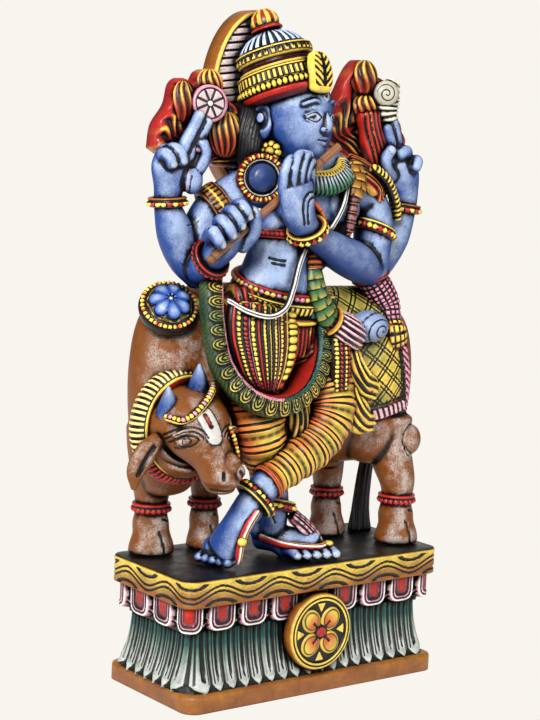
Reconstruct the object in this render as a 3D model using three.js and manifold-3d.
// A flute player with four arms, standing cross-legged before a cow, carved in one piece of wood
// that rests on a fluted plinth. Millimetres, +Z up, the figure faces -Y, and the origin is the
// centre of the plinth's underside.
import * as THREE from "three";
import Module from "manifold-3d";
import { mergeVertices } from "three/addons/utils/BufferGeometryUtils.js";

const wasm = await Module();
wasm.setup();

// Driving sizes of the plinth
const PLINTH_WIDTH = 283;
const PLINTH_DEPTH = 134;
const FOOT_HEIGHT = 16;
const WAIST_HEIGHT = 50;
const WAIST_INSET = 14;
const FLUTE_PITCH = 16.5;
const FLUTE_RELIEF = 4;
const PETAL_HEIGHT = 26;
const PETAL_PITCH = 36;
const PETAL_THICKNESS = 9;
const PETAL_GAP = 9;
const CORNICE_WIDTH = 290;
const CORNICE_DEPTH = 126;
const CORNICE_HEIGHT = 25;
const CORNER_RADIUS = 14;
const MEDALLION_RADIUS = 35;
const MEDALLION_LIFT = 56;
const MEDALLION_PROUD = 5;
const MEDALLION_RIM = 4;
const ROSETTE_RELIEF = 3;
const ROSETTE_PETALS = 4;
const EDGE_ROUNDING = 2;

// Driving sizes of the carved group and of the flute
const FIGURE_HEIGHT = 493;
const SEAT_CLEARANCE = 0.3;
const FLUTE_RADIUS = 3.6;
const FLUTE_CLEARANCE = 0.4;

// The carver's grid divides the group's height into this many parts, and every point and radius
// of the group below is counted in these parts, from the plinth's top upwards.
const GRID_PARTS = 493;
const unit = FIGURE_HEIGHT / GRID_PARTS;

const plinthHeight = FOOT_HEIGHT + WAIST_HEIGHT + PETAL_HEIGHT + CORNICE_HEIGHT;
const groundHeight = plinthHeight + SEAT_CLEARANCE;

function at(x, y, z) {
  return new THREE.Vector3(x * unit, y * unit, groundHeight + z * unit);
}

// Solids

// Merges a geometry's shared corners, drops its empty triangles and turns its faces outwards.
function solid(geometry) {
  const bare = new THREE.BufferGeometry();
  bare.setAttribute("position", geometry.getAttribute("position"));
  if (geometry.index) bare.setIndex(geometry.index);
  const merged = mergeVertices(bare, 1e-4);
  const position = merged.getAttribute("position");
  const corners = merged.index.array;
  const kept = [];
  let volume = 0;
  for (let i = 0; i < corners.length; i += 3) {
    const [a, b, c] = [corners[i], corners[i + 1], corners[i + 2]];
    if (a === b || b === c || c === a) continue;
    kept.push(a, b, c);
    const [p, q, r] = [a, b, c].map((k) => new THREE.Vector3().fromBufferAttribute(position, k));
    volume += p.dot(q.cross(r));
  }
  if (volume < 0) kept.reverse();
  const mesh = new wasm.Mesh({
    numProp: 3,
    vertProperties: merged.attributes.position.array,
    triVerts: new Uint32Array(kept),
  });
  return new wasm.Manifold(mesh);
}

function join(parts) {
  if (parts.length === 1) return parts[0];
  const middle = Math.ceil(parts.length / 2);
  return join(parts.slice(0, middle)).add(join(parts.slice(middle)));
}

// A closed skin over a row of rings that all have the same number of points.
function skin(rings) {
  const count = rings[0].length;
  const points = rings.flat();
  const triangles = [];
  for (let i = 0; i + 1 < rings.length; i++)
    for (let j = 0; j < count; j++) {
      const a = i * count + j;
      const b = i * count + ((j + 1) % count);
      triangles.push(a, b, b + count, a, b + count, a + count);
    }
  const centre = (ring) =>
    ring.reduce((sum, p) => sum.add(p), new THREE.Vector3()).divideScalar(count);
  const first = points.push(centre(rings[0])) - 1;
  const last = points.push(centre(rings.at(-1))) - 1;
  const top = (rings.length - 1) * count;
  for (let j = 0; j < count; j++) {
    const k = (j + 1) % count;
    triangles.push(first, k, j, last, top + j, top + k);
  }
  const geometry = new THREE.BufferGeometry().setFromPoints(points);
  geometry.setIndex(triangles);
  return solid(geometry);
}

// A limb through stations [x, y, z, half width, half depth]. Cuffs are raised rings, each at a
// station's number with its width and its growth. Ripple raises every other ring, and ribs every
// other side. A limb's ends are round unless their roundness is 0.
function limb(stations, options = {}) {
  const { sides = 6, steps = 1, root = 0.7, tip = 0.7, cuffs = [], ripple = 0, ribs = 0 } = options;
  const places = stations.map(([x, y, z]) => at(x, y, z));
  const sizes = stations.map(([, , , a, b]) => new THREE.Vector3(a, b ?? a, 0));
  const route = new THREE.CatmullRomCurve3(places, false, "centripetal");
  const girth = new THREE.CatmullRomCurve3(sizes, false, "centripetal");
  const last = stations.length - 1;
  const run = places[last].clone().sub(places[0]).normalize();
  const back = Math.abs(run.y) > 0.8 ? new THREE.Vector3(0, 0, 1) : new THREE.Vector3(0, 1, 0);
  let marks = Array.from({ length: last * steps + 1 }, (_, i) => [i / steps, (i % 2) * ripple]);
  for (const [station, width, growth] of cuffs) {
    const segment = Math.min(Math.floor(station), last - 1);
    const half = (width * unit) / 2 / places[segment].distanceTo(places[segment + 1]);
    const [from, to] = [station - half, station + half];
    const shoulder = half * 0.2;
    marks = marks.filter(([mark]) => mark < from - shoulder || mark > to + shoulder);
    marks.push([from - shoulder, 0], [from, growth], [to, growth], [to + shoulder, 0]);
  }
  marks = marks.filter(([mark]) => mark >= 0 && mark <= last).sort((p, q) => p[0] - q[0]);
  const ring = (mark, shift, shrink, growth) => {
    const along = route.getTangent(mark / last);
    const size = girth.getPoint(mark / last);
    const centre = route.getPoint(mark / last);
    centre.addScaledVector(along, shift * Math.min(size.x, size.y) * unit);
    const side = new THREE.Vector3().crossVectors(along, back).normalize();
    const face = new THREE.Vector3().crossVectors(along, side);
    return Array.from({ length: sides }, (_, j) => {
      const angle = ((j + 0.5) / sides) * 2 * Math.PI;
      const out = growth + (j % 2) * ribs;
      return centre
        .clone()
        .addScaledVector(side, Math.cos(angle) * (size.x * shrink + out) * unit)
        .addScaledVector(face, Math.sin(angle) * (size.y * shrink + out) * unit);
    });
  };
  const rings = marks.map(([mark, growth]) => ring(mark, 0, 1, growth));
  if (root > 0) rings.unshift(ring(0, -root, 0.55, 0));
  if (tip > 0) rings.push(ring(last, tip, 0.55, 0));
  return skin(rings);
}

// An ellipsoid with radii along X, Y and Z, turned about Z.
function blob([x, y, z], [rx, ry, rz], segments, turn = 0) {
  const geometry = new THREE.SphereGeometry(1, segments, Math.max(5, Math.round(segments * 0.7)));
  geometry.rotateX(Math.PI / 2);
  geometry.scale(rx * unit, ry * unit, rz * unit);
  geometry.rotateZ(turn);
  geometry.translate(...at(x, y, z).toArray());
  return solid(geometry);
}

// A body of revolution from pairs [radius, height], which starts and ends on its axis. It stands
// at a point and looks along a direction.
function turned(profile, [x, y, z], [dx, dy, dz], segments) {
  const outline = profile.map(([r, h]) => new THREE.Vector2(r * unit, h * unit));
  const geometry = new THREE.LatheGeometry(outline, segments);
  geometry.rotateX(Math.PI / 2);
  const direction = new THREE.Vector3(dx, dy, dz).normalize();
  const turn = new THREE.Quaternion().setFromUnitVectors(new THREE.Vector3(0, 0, 1), direction);
  geometry.applyQuaternion(turn);
  geometry.translate(...at(x, y, z).toArray());
  return solid(geometry);
}

// A carved panel: an outline of [x, z] pairs, extruded from its front to its back.
function panel(outline, front, back) {
  const shape = new THREE.Shape(outline.map(([x, z]) => new THREE.Vector2(x * unit, z * unit)));
  const depth = (back - front) * unit;
  const geometry = new THREE.ExtrudeGeometry(shape, { depth, bevelEnabled: false });
  geometry.rotateX(Math.PI / 2);
  geometry.translate(0, back * unit, groundHeight);
  return solid(geometry);
}

// Plinth

const footPlan = [PLINTH_WIDTH / 2, PLINTH_DEPTH / 2];
const cornicePlan = [CORNICE_WIDTH / 2, CORNICE_DEPTH / 2];
const waistPlan = [
  Math.min(footPlan[0], cornicePlan[0]) - WAIST_INSET,
  Math.min(footPlan[1], cornicePlan[1]) - WAIST_INSET,
];
// Layers that grow out of each other share this height.
const shared = 1;

// A rectangle with round corners, drawn in by an inset, with each corner walked in equal steps.
function roundedRectangle([halfX, halfY], inset, cornerSteps = 3) {
  const reachX = halfX - inset - CORNER_RADIUS;
  const reachY = halfY - inset - CORNER_RADIUS;
  const signs = [
    [1, -1],
    [1, 1],
    [-1, 1],
    [-1, -1],
  ];
  return signs.flatMap(([signX, signY], i) =>
    Array.from({ length: cornerSteps + 1 }, (_, j) => {
      const angle = ((i - 1 + j / cornerSteps) * Math.PI) / 2;
      return [
        signX * reachX + CORNER_RADIUS * Math.cos(angle),
        signY * reachY + CORNER_RADIUS * Math.sin(angle),
      ];
    }),
  );
}

// The same outline as a row of flutes with grooves between them. Every side and corner holds as
// many flutes as its length takes without the inset.
function flutedRectangle(plan, inset) {
  const corners = roundedRectangle(plan, inset, 1);
  const fullSides = roundedRectangle(plan, 0, 1);
  const profile = [FLUTE_RELIEF, 0, 0];
  return corners.flatMap(([x, y], i) => {
    const k = (i + 1) % corners.length;
    const full = Math.hypot(fullSides[k][0] - fullSides[i][0], fullSides[k][1] - fullSides[i][1]);
    const count = Math.max(1, Math.round(full / FLUTE_PITCH));
    const [dx, dy] = [corners[k][0] - x, corners[k][1] - y];
    const length = Math.hypot(dx, dy);
    return Array.from({ length: profile.length * count }, (_, j) => {
      const share = j / (profile.length * count);
      const depth = profile[j % profile.length] / length;
      return [x + dx * share - dy * depth, y + dy * share + dx * depth];
    });
  });
}

function layer(levels, outline) {
  return skin(
    levels.map(([height, inset]) =>
      outline(inset).map(([x, y]) => new THREE.Vector3(x, y, height)),
    ),
  );
}

// The concave waist, cut into flutes that flare out to the foot.
function plinthWaist() {
  const steps = 2;
  const flare = footPlan[1] - waistPlan[1] - FLUTE_RELIEF;
  const levels = Array.from({ length: steps + 1 }, (_, i) => {
    const share = i / steps;
    return [FOOT_HEIGHT - shared + share * (WAIST_HEIGHT + 2 * shared), -flare * (1 - share) ** 2];
  });
  return layer(levels, (inset) => flutedRectangle(waistPlan, inset));
}

// A row of hanging petals along each side of the plinth, under the cornice. The corner petals
// of two sides meet.
function plinthPetals() {
  const top = plinthHeight - CORNICE_HEIGHT + shared;
  const [halfX, halfY] = waistPlan;
  const sides = [
    [halfX, halfY, 0],
    [halfX, halfY, Math.PI],
    [halfY, halfX, Math.PI / 2],
    [halfY, halfX, -Math.PI / 2],
  ];
  return sides.flatMap(([half, distance, turn]) => {
    const room = 2 * half;
    const count = Math.max(1, Math.round(room / PETAL_PITCH));
    return Array.from({ length: count }, (_, i) => {
      const petal = new THREE.BoxGeometry(
        room / count - PETAL_GAP,
        2 * PETAL_THICKNESS,
        PETAL_HEIGHT - PETAL_GAP,
      );
      petal.translate(
        ((i + 0.5) / count - 0.5) * room,
        -distance,
        top - (PETAL_HEIGHT - PETAL_GAP) / 2,
      );
      petal.rotateZ(turn);
      return solid(petal);
    });
  });
}

// The round boss on the front, with a raised rim and a flower. The petals' sizes are shares of
// the radius inside the rim.
function medallion() {
  const inside = MEDALLION_RADIUS - MEDALLION_RIM;
  const front = CORNICE_DEPTH / 2 + MEDALLION_PROUD;
  const back = waistPlan[1] - 2 * FLUTE_RELIEF;
  const profile = [
    [0, back],
    [MEDALLION_RADIUS, back],
    [MEDALLION_RADIUS, front],
    [inside, front],
    [inside, front - ROSETTE_RELIEF],
    [0, front - ROSETTE_RELIEF],
  ];
  const disc = new THREE.LatheGeometry(
    profile.map(([r, h]) => new THREE.Vector2(r, -h)),
    22,
  );
  disc.translate(0, 0, MEDALLION_LIFT);
  const petals = Array.from({ length: ROSETTE_PETALS }, (_, i) => {
    const petal = new THREE.SphereGeometry(1, 6, 5);
    petal.rotateZ(Math.PI / 2);
    petal.scale(inside * 0.4, ROSETTE_RELIEF, inside * 0.33);
    petal.translate(inside * 0.53, ROSETTE_RELIEF - front, 0);
    petal.rotateY(((i + 0.5) * 2 * Math.PI) / ROSETTE_PETALS);
    petal.translate(0, 0, MEDALLION_LIFT);
    return solid(petal);
  });
  return [solid(disc), ...petals];
}

function plinth() {
  const underPetals = FOOT_HEIGHT + WAIST_HEIGHT;
  const underCornice = underPetals + PETAL_HEIGHT;
  const foot = [
    [0, 0],
    [FOOT_HEIGHT - EDGE_ROUNDING, 0],
    [FOOT_HEIGHT, EDGE_ROUNDING],
  ];
  const neck = [
    [underPetals - shared, 0],
    [underCornice + shared, 0],
  ];
  const cornice = [
    [underCornice, EDGE_ROUNDING],
    [underCornice + EDGE_ROUNDING, 0],
    [plinthHeight - EDGE_ROUNDING, 0],
    [plinthHeight, EDGE_ROUNDING],
  ];
  return join([
    layer(foot, (inset) => roundedRectangle(footPlan, inset)),
    plinthWaist(),
    layer(neck, (inset) => roundedRectangle(waistPlan, inset)),
    ...plinthPetals(),
    layer(cornice, (inset) => roundedRectangle(cornicePlan, inset)),
    ...medallion(),
  ]);
}

// The standing figure

const FACING = [0.29, -0.96, 0];
const HEAD = [-12, -4, 394];
const CROWN_SEAT = [-21, -6, 416];
const CROWN_AXIS = [-0.15, 0.3, 0.94];

// A point at a distance from the head's centre: forward, to the figure's right, and up.
function headPoint(forward, right, up) {
  const [fx, fy] = FACING;
  const [x, y, z] = HEAD;
  return [x + fx * forward + fy * right, y + fy * forward - fx * right, z + up];
}

function torso() {
  const stations = [
    [-28, -8, 196, 44, 25],
    [-24, -10, 222, 53, 27],
    [-22, -12, 244, 48, 27],
    [-18, -12, 268, 38, 24],
    [0, -9, 296, 46, 25],
    [12, -6, 318, 55, 25],
    [14, -4, 336, 48, 20],
    [2, -4, 350, 22, 16],
    [-8, -4, 366, 17, 16],
  ];
  const belt = [2.1, 12, 3];
  const collar = [6.5, 9, 4];
  return limb(stations, { sides: 10, root: 0, tip: 0, cuffs: [belt, collar] });
}

function legs() {
  const standing = [
    [-50, -8, 205, 30, 26],
    [-50, -18, 160, 28, 25],
    [-45, -26, 112, 22, 21],
    [-32, -24, 76, 17, 17],
    [-21, -18, 44, 13, 13],
    [-18, -10, 16, 12, 13],
  ];
  const crossing = [
    [16, -8, 205, 31, 27],
    [24, -22, 165, 29, 27],
    [24, -34, 128, 24, 23],
    [4, -40, 106, 20, 20],
    [-25, -44, 90, 17, 17],
    [-50, -46, 76, 15, 15],
    [-66, -45, 60, 13, 14],
    [-78, -38, 38, 12, 17],
    [-84, -24, 14, 10, 21],
  ];
  const flatFoot = [
    [-20, 2, 14, 12, 12],
    [-14, -14, 15, 13, 13],
    [-4, -32, 9, 18, 8],
    [2, -44, 6, 21, 5],
  ];
  const folds = { sides: 7, ripple: 1.6, root: 0, tip: 0 };
  return [
    limb(standing.slice(0, 4), folds),
    limb(standing.slice(2), { root: 0, tip: 0, cuffs: [[1.9, 6, 3]] }),
    limb(crossing.slice(0, 5), folds),
    limb(crossing.slice(3), { root: 0, tip: 0.3, cuffs: [[2.2, 7, 3]] }),
    limb(flatFoot, { root: 0 }),
    ...toes(),
  ];
}

// The toes of each foot, as a row of bumps from the little toe to the big one.
function toes() {
  const rows = [
    [
      [-17, -42, 5, 4, 6],
      [21, -49, 6, 6, 7],
    ],
    [
      [-90, -4, 5, 4, 6],
      [-78, -42, 7, 6, 8],
    ],
  ];
  return rows.map((ends) => limb(ends, { sides: 5, steps: 8, ripple: -1.8, root: 0.4, tip: 0.4 }));
}

const ELBOW_RIGHT = [-104, 2, 262];
const ELBOW_LEFT = [86, -10, 258];

function arms() {
  const upperRight = [
    [-40, -6, 334, 19, 17],
    [-62, -3, 330, 18, 17],
    [-88, 4, 312, 17, 16],
    [-102, 3, 286, 17, 16],
    [...ELBOW_RIGHT, 15, 15],
  ];
  const rearRight = [
    [-100, 4, 254, 12, 13],
    [-112, 4, 270, 17, 15],
    [-125, 4, 292, 17, 15],
    [-134, 4, 318, 12, 12],
    [-135, 2, 334, 14, 11],
    [-134, 0, 352, 21, 12],
    [-130, 0, 366, 19, 10],
  ];
  const frontRight = [
    [...ELBOW_RIGHT, 14, 14],
    [-108, -16, 266, 14, 14],
    [-108, -30, 274, 13, 13],
    [-102, -38, 288, 17, 14],
    [-98, -40, 300, 16, 12],
  ];
  const upperLeft = [
    [66, -6, 330, 19, 17],
    [80, -6, 322, 19, 17],
    [86, -10, 300, 19, 18],
    [84, -12, 278, 18, 17],
    [...ELBOW_LEFT, 16, 16],
  ];
  const rearLeft = [
    [92, -2, 252, 12, 13],
    [108, 4, 268, 17, 15],
    [124, 5, 290, 17, 15],
    [134, 4, 314, 12, 12],
    [133, 2, 332, 14, 12],
    [126, 0, 350, 20, 13],
    [116, -2, 362, 17, 11],
  ];
  const frontLeft = [
    [...ELBOW_LEFT, 15, 15],
    [56, -22, 268, 18, 17],
    [22, -32, 280, 16, 16],
    [-4, -42, 290, 12, 12],
    [-22, -48, 300, 12, 11],
    [-38, -54, 318, 18, 10],
    [-43, -55, 338, 19, 9],
  ];
  const bracelet = [3.1, 7, 2.5];
  return [
    limb(upperRight, { cuffs: [[1.8, 13, 2]], tip: 0 }),
    limb(rearRight, { cuffs: [bracelet], root: 0 }),
    limb(frontRight, { cuffs: [[1.8, 7, 2.5]], root: 0 }),
    limb(upperLeft, { cuffs: [[2.2, 8, 2.5]], tip: 0 }),
    limb(rearLeft, { cuffs: [bracelet], root: 0 }),
    limb(frontLeft, { cuffs: [[3.2, 9, 2.5]] }),
  ];
}

// Fingers as short bent limbs, each from its root over its knuckle to its tip.
function fingers() {
  const finger = (...points) =>
    limb(
      points.map((p, i) => [...p, i === points.length - 1 ? 3.4 : 4.8]),
      { sides: 4, root: 0, tip: 0.6 },
    );
  const raised = Array.from({ length: 4 }, (_, i) => {
    const [x, y, z] = [-54 + 7.3 * i, -55, 340 + 0.7 * i];
    return finger([x, y, z], [x + 1, y - 3, z + 14], [x + 8, y + 2, z + 23]);
  });
  const closed = limb(
    [
      [-109, -53, 289, 8, 8],
      [-86, -55, 311, 8, 8],
    ],
    { sides: 5, steps: 6, ripple: -1.8, root: 0.3, tip: 0.3 },
  );
  return [
    ...raised,
    closed,
    finger([-84, -42, 290], [-80, -54, 312]),
    finger([-26, -52, 328], [-25, -50, 356]),
    finger([-119, -4, 358], [-108, -8, 374], [-104, -8, 386]),
    finger([-136, -2, 362], [-124, -4, 380], [-114, -6, 394]),
    finger([-142, -4, 356], [-142, -12, 356]),
    finger([113, -4, 362], [106, -8, 376], [100, -8, 390]),
    finger([122, -2, 362], [114, -2, 378], [107, -4, 394]),
    finger([131, -4, 354], [131, -13, 354]),
  ];
}

function head() {
  const turn = Math.atan2(FACING[1], FACING[0]) + Math.PI / 2;
  const face = (place, size, segments) => blob(headPoint(...place), size, segments, turn);
  const pairs = [-1, 1].flatMap((side) => [
    face([30, side * 13, 3], [9, 5, 4], 5),
    face([-2, side * 33, -3], [4, 10, 16], 5),
    ...hair(side),
  ]);
  const nose = [
    [...headPoint(32, 0, 13), 3, 4],
    [...headPoint(40, 0, 0), 4, 5],
    [...headPoint(43, 0, -8), 7, 6],
  ];
  return [
    face([2, 0, 8], [33, 38, 38], 9),
    face([14, 0, -14], [26, 25, 22], 7),
    face([37, 0, -19], [9, 5, 4.5], 5),
    limb(nose, { sides: 4, root: 0, tip: 0.5 }),
    ...pairs,
  ];
}

function hair(side) {
  const lock = [
    [...headPoint(-20, side * 26, 10), 12, 12],
    [...headPoint(-18, side * 36, -12), 14, 13],
    [...headPoint(-14, side * 36, -36), 12, 12],
    [...headPoint(-10, side * 30, -52), 7, 8],
  ];
  return [limb(lock, { sides: 6 }), blob(headPoint(2, side * 32, -27), [8, 8, 9], 6)];
}

// The tall cap: banded below, fluted above, with a bud on top, and a crest plate in front.
function crown() {
  const bands = [
    [38, 3],
    [36, 5],
    [38.5, 7],
    [38, 19],
    [34, 22],
    [34, 36],
    [29, 39],
    [23, 48],
    [10, 58],
    [12, 61],
    [9, 65],
    [8, 73],
  ];
  const cap = turned([[0, -6], [35, -6], ...bands, [0, 80]], CROWN_SEAT, CROWN_AXIS, 13);
  const [fx, fy] = FACING;
  const [x, y, z] = CROWN_SEAT;
  const crest = [
    [x + fx * 33, y + fy * 33, z + 12, 15, 5],
    [x + fx * 30, y + fy * 30, z + 26, 12, 5],
    [x + fx * 24, y + fy * 24, z + 38, 5, 5],
  ];
  return [cap, limb(crest, { sides: 6 })];
}

const HALO_CENTRE = [-29, 406];
const HALO_SIZE = [49, 83];
const HALO_DEPTH = [26, 44];
const HALO_RIM = 7;

// The halo behind the head: an upright oval with a raised rim and radial slats.
function halo() {
  const oval = (grow, from, to) => {
    const outline = Array.from({ length: 22 }, (_, i) => {
      const angle = (i / 22) * 2 * Math.PI;
      return [
        HALO_CENTRE[0] + Math.cos(angle) * (HALO_SIZE[0] + grow),
        HALO_CENTRE[1] + Math.sin(angle) * (HALO_SIZE[1] + grow),
      ];
    });
    return panel(outline, from, to);
  };
  const [front, back] = HALO_DEPTH;
  const dish = oval(0, front, back).subtract(oval(-HALO_RIM, front - 5, front + 5));
  const count = 9;
  const slats = Array.from({ length: count }, (_, i) => {
    const angle = (0.28 + (0.86 * i) / (count - 1)) * Math.PI;
    const point = (share) => [
      HALO_CENTRE[0] + Math.cos(angle) * HALO_SIZE[0] * share,
      front + 5,
      HALO_CENTRE[1] + Math.sin(angle) * HALO_SIZE[1] * share,
      3,
      3,
    ];
    return limb([point(0.45), point(0.9)], { sides: 4, root: 0, tip: 0 });
  });
  return [dish, ...slats];
}

// The flame carvings behind the two raised hands, each with its buds.
function flames() {
  const left = [
    [-147, 364],
    [-144, 384],
    [-132, 402],
    [-127, 420],
    [-119, 425],
    [-109, 420],
    [-101, 431],
    [-91, 433],
    [-78, 413],
    [-53, 394],
    [-52, 364],
    [-66, 350],
    [-98, 354],
    [-126, 354],
  ];
  const right = [
    [40, 394],
    [53, 417],
    [68, 444],
    [78, 451],
    [88, 441],
    [108, 433],
    [120, 419],
    [126, 400],
    [137, 372],
    [126, 356],
    [104, 347],
    [94, 346],
    [66, 362],
    [36, 374],
  ];
  const buds = [
    [-120, 8, 406, 9, 9, 15],
    [-92, 10, 421, 12, 10, 11],
    [-78, 4, 378, 16, 9, 18],
    [80, 4, 436, 12, 10, 14],
    [82, 3, 408, 12, 10, 12],
    [90, 1, 376, 10, 8, 20],
  ];
  return [
    panel(left, 4, 22),
    panel(right, 5, 22),
    ...buds.map(([x, y, z, ...size]) => blob([x, y, z], size, 6)),
  ];
}

// What the raised hands hold: a wheel and a conch.
function emblems() {
  const wheel = [
    [0, -6],
    [16, -6],
    [15, 3],
    [12, 0.5],
    [0, 0.5],
  ];
  const conch = [
    [0, -26],
    [6, -20],
    [12, -4],
    [10, -1],
    [14, 5],
    [9, 15],
    [0, 17],
  ];
  return [
    turned(wheel, [-99, -2, 404], [0, -1, 0], 13),
    turned(conch, [100, -2, 414], [-0.25, 0, 1], 8),
    blob([96, -9, 420], [12, 7, 12], 6),
  ];
}

function shoulderBoss() {
  const boss = [
    [0, -8],
    [21, -8],
    [21, 4],
    [17, 5],
    [13, 11],
    [0, 14],
  ];
  return turned(boss, [-50, -22, 338], [-0.5, -1, 0.1], 9);
}

// The apron of beads, the long scarf that hangs round it in a loop, and the sash's ends.
function drapery() {
  const apron = [
    [-58, -28, 240, 36, 11],
    [-60, -34, 210, 35, 11],
    [-60, -40, 180, 26, 9],
    [-58, -42, 162, 14, 6],
  ];
  const scarf = [
    [-104, -10, 252, 12, 14],
    [-102, -24, 214, 12, 14],
    [-96, -36, 178, 12, 13],
    [-76, -46, 154, 12, 11],
    [-50, -50, 145, 12, 10],
    [-22, -46, 150, 12, 11],
    [2, -38, 168, 11, 13],
    [18, -30, 200, 10, 13],
    [12, -26, 236, 8, 12],
    [6, -24, 262, 7, 9],
  ];
  const sashEnd = [
    [44, -16, 236, 12, 12],
    [56, -20, 190, 12, 9],
    [64, -22, 158, 15, 8],
    [70, -20, 140, 15, 6],
  ];
  const strings = [
    [34, -26, 190, 14, 12],
    [40, -30, 160, 12, 10],
    [44, -30, 142, 10, 8],
  ];
  return [
    limb(apron, { sides: 12, ribs: 3, root: 0, tip: 0.5 }),
    limb(scarf, { sides: 6 }),
    limb(sashEnd, { root: 0 }),
    limb(strings, { sides: 6, root: 0 }),
  ];
}

// The rolled girdle that swings from the waist to the elbow, with its buds and its ball.
function girdle() {
  const inner = [
    [-2, -24, 272, 8, 8],
    [2, -28, 262, 9, 9],
    [6, -30, 238, 10, 10],
    [20, -30, 218, 11, 11],
    [36, -28, 208, 13, 12],
    [50, -26, 202, 15, 13],
  ];
  const outer = [
    [86, -6, 256, 14, 13],
    [94, -6, 246, 15, 14],
    [106, -8, 230, 14, 13],
    [106, -14, 214, 12, 12],
    [106, -18, 200, 15, 13],
    [110, -16, 186, 13, 11],
  ];
  return [
    limb(inner),
    blob([72, -22, 207], [17, 15, 15], 7),
    limb(outer),
  ];
}

// The cow

// The cow's barrel, which stands slantwise behind the figure. The saddle cloth is the same
// form with some growth.
function cowBarrel(growth) {
  const stations = [
    [-135, 32, 140, 40, 16],
    [-122, 32, 148, 60, 27],
    [-98, 31, 160, 80, 34],
    [-50, 28, 162, 84, 37],
    [0, 22, 158, 82, 38],
    [50, 16, 157, 81, 38],
    [96, 8, 157, 81, 37],
    [120, 3, 158, 74, 32],
    [132, 1, 158, 58, 24],
  ];
  const grown = stations.map(([x, y, z, a, b]) => [x, y, z, a + growth, b + growth]);
  return limb(grown, { sides: 12, root: 0.3, tip: 0.3 });
}

// Each leg stands on its hoof: the hoof's centre, the knee's centre and the leg's thickness.
function cowLegs() {
  const legRows = [
    [[-112, 46], [-118, 38], 17],
    [[-56, 42], [-56, 38], 14],
    [[82, 34], [78, 34], 15],
    [[122, -22], [118, -8], 17],
  ];
  return legRows.map(([[x, y], [kneeX, kneeY], thick]) => {
    const stations = [
      [kneeX, kneeY, 106, thick * 1.5, thick * 1.35],
      [x, y, 58, thick * 1.15, thick * 1.1],
      [x, y, 38, thick * 0.85, thick * 0.85],
      [x, y, 24, thick, thick],
      [x, y - 2, 7, thick * 1.25, thick * 1.2],
      [x, y - 2, 0, thick * 1.3, thick * 1.25],
    ];
    return limb(stations, { sides: 6, root: 0, tip: 0, cuffs: [[2.1, 8, 3]] });
  });
}

function cowHead() {
  const muzzle = [
    [-113, 10, 122, 46, 46],
    [-115, -6, 123, 46, 46],
    [-118, -16, 127, 40, 38],
    [-119, -26, 128, 34, 30],
    [-117, -38, 117, 29, 25],
    [-112, -48, 100, 20, 17],
    [-108, -52, 86, 21, 16],
    [-107, -52, 78, 17, 12],
  ];
  const pairs = [-1, 1].flatMap((side) => {
    const horn = [
      [-122 + side * 19, -24, 146, 9, 9],
      [-122 + side * 23, -26, 160, 7, 7],
      [-122 + side * 18, -26, 176, 4, 4],
    ];
    const ear = [
      [-122 + side * 32, -20, 116, 8, 6],
      [-122 + side * 42, -18, 102, 10, 6],
      [-122 + side * 46, -16, 86, 5, 4],
    ];
    const eye = blob([-119 + side * 25, -44, 119], [9, 6, 6], 5);
    return [limb(horn, { sides: 5, root: 0 }), limb(ear, { sides: 5, root: 0 }), eye];
  });
  const neckBand = [0.8, 9, 7];
  return [limb(muzzle, { sides: 9, tip: 0.5, root: 0, cuffs: [neckBand] }), ...pairs];
}

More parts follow.
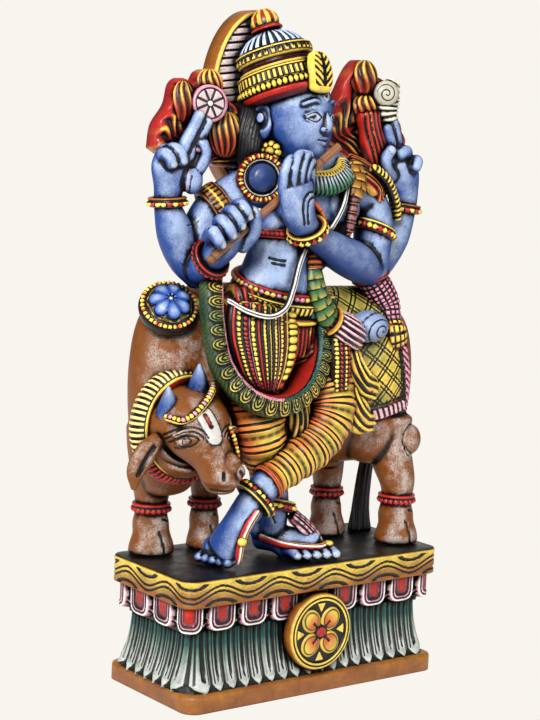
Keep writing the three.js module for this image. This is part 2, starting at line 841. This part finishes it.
// The lotus cap on the hump, the saddle cloth, the hip boss, the udder and the tail.
function cowTrappings() {
  const cap = [
    [0, -8],
    [28, -8],
    [28, 1],
    [23, 2],
    [22, 6],
    [13, 12],
    [0, 15],
  ];
  const hem = new THREE.BoxGeometry(80 * unit, 140 * unit, 120 * unit);
  hem.rotateY(-0.35);
  hem.translate(...at(110, 0, 212).toArray());
  const udder = [
    [84, 26, 84, 12, 12],
    [70, 22, 76, 9, 9],
    [58, 20, 74, 6, 6],
  ];
  const tail = [
    [138, 24, 150, 8, 8],
    [136, 34, 100, 7, 6],
    [126, 32, 50, 8, 6],
    [122, 30, 14, 11, 7],
    [122, 30, 0, 13, 8],
  ];
  return [
    turned(cap, [-124, 6, 230], [-0.3, -0.68, 0.66], 10),
    cowBarrel(3).intersect(solid(hem)),
    blob([132, -22, 98], [14, 11, 16], 7),
    limb(udder, { sides: 6 }),
    limb(tail, { sides: 6, root: 0, tip: 0 }),
  ];
}

// The flute and the hole it rests in

const FLUTE_MOUTH = [8, -50, 372];
const FLUTE_END = [-124, -46, 272];
const FLUTE_SIDES = 10;

function fluteRod(radius, beyond) {
  const from = at(...FLUTE_MOUTH);
  const to = at(...FLUTE_END);
  const along = to.clone().sub(from).normalize();
  const length = from.distanceTo(to) + 2 * beyond;
  const rod = new THREE.CylinderGeometry(radius, radius, length, FLUTE_SIDES);
  rod.applyQuaternion(
    new THREE.Quaternion().setFromUnitVectors(new THREE.Vector3(0, 1, 0), along),
  );
  rod.translate(...from.add(to).multiplyScalar(0.5).toArray());
  return solid(rod);
}

function carvedGroup() {
  const body = join([
    torso(),
    ...legs(),
    ...arms(),
    ...fingers(),
    ...head(),
    ...crown(),
    ...halo(),
    ...flames(),
    ...emblems(),
    shoulderBoss(),
    ...drapery(),
    ...girdle(),
    cowBarrel(0),
    ...cowLegs(),
    ...cowHead(),
    ...cowTrappings(),
  ]);
  const below = new THREE.BoxGeometry(2 * CORNICE_WIDTH, 2 * CORNICE_WIDTH, plinthHeight);
  below.translate(0, 0, groundHeight - plinthHeight / 2);
  return body.subtract(solid(below)).subtract(fluteRod(FLUTE_RADIUS + FLUTE_CLEARANCE, 2));
}

const group = new THREE.Group();

function addNode(name, manifold, colour, roughness) {
  const mesh = manifold.getMesh();
  const geometry = new THREE.BufferGeometry();
  geometry.setAttribute("position", new THREE.BufferAttribute(mesh.vertProperties, 3));
  geometry.setIndex(new THREE.BufferAttribute(mesh.triVerts, 1));
  geometry.computeVertexNormals();
  const material = new THREE.MeshStandardMaterial({ color: colour, roughness, metalness: 0 });
  const node = new THREE.Mesh(geometry, material);
  node.name = name;
  group.add(node);
}

addNode("plinth", plinth(), "#8a7a3a", 0.5);
addNode("krishna_and_cow", carvedGroup(), "#5a7fd0", 0.5);
addNode("flute", fluteRod(FLUTE_RADIUS, 0), "#9a6a45", 0.5);

export default group;
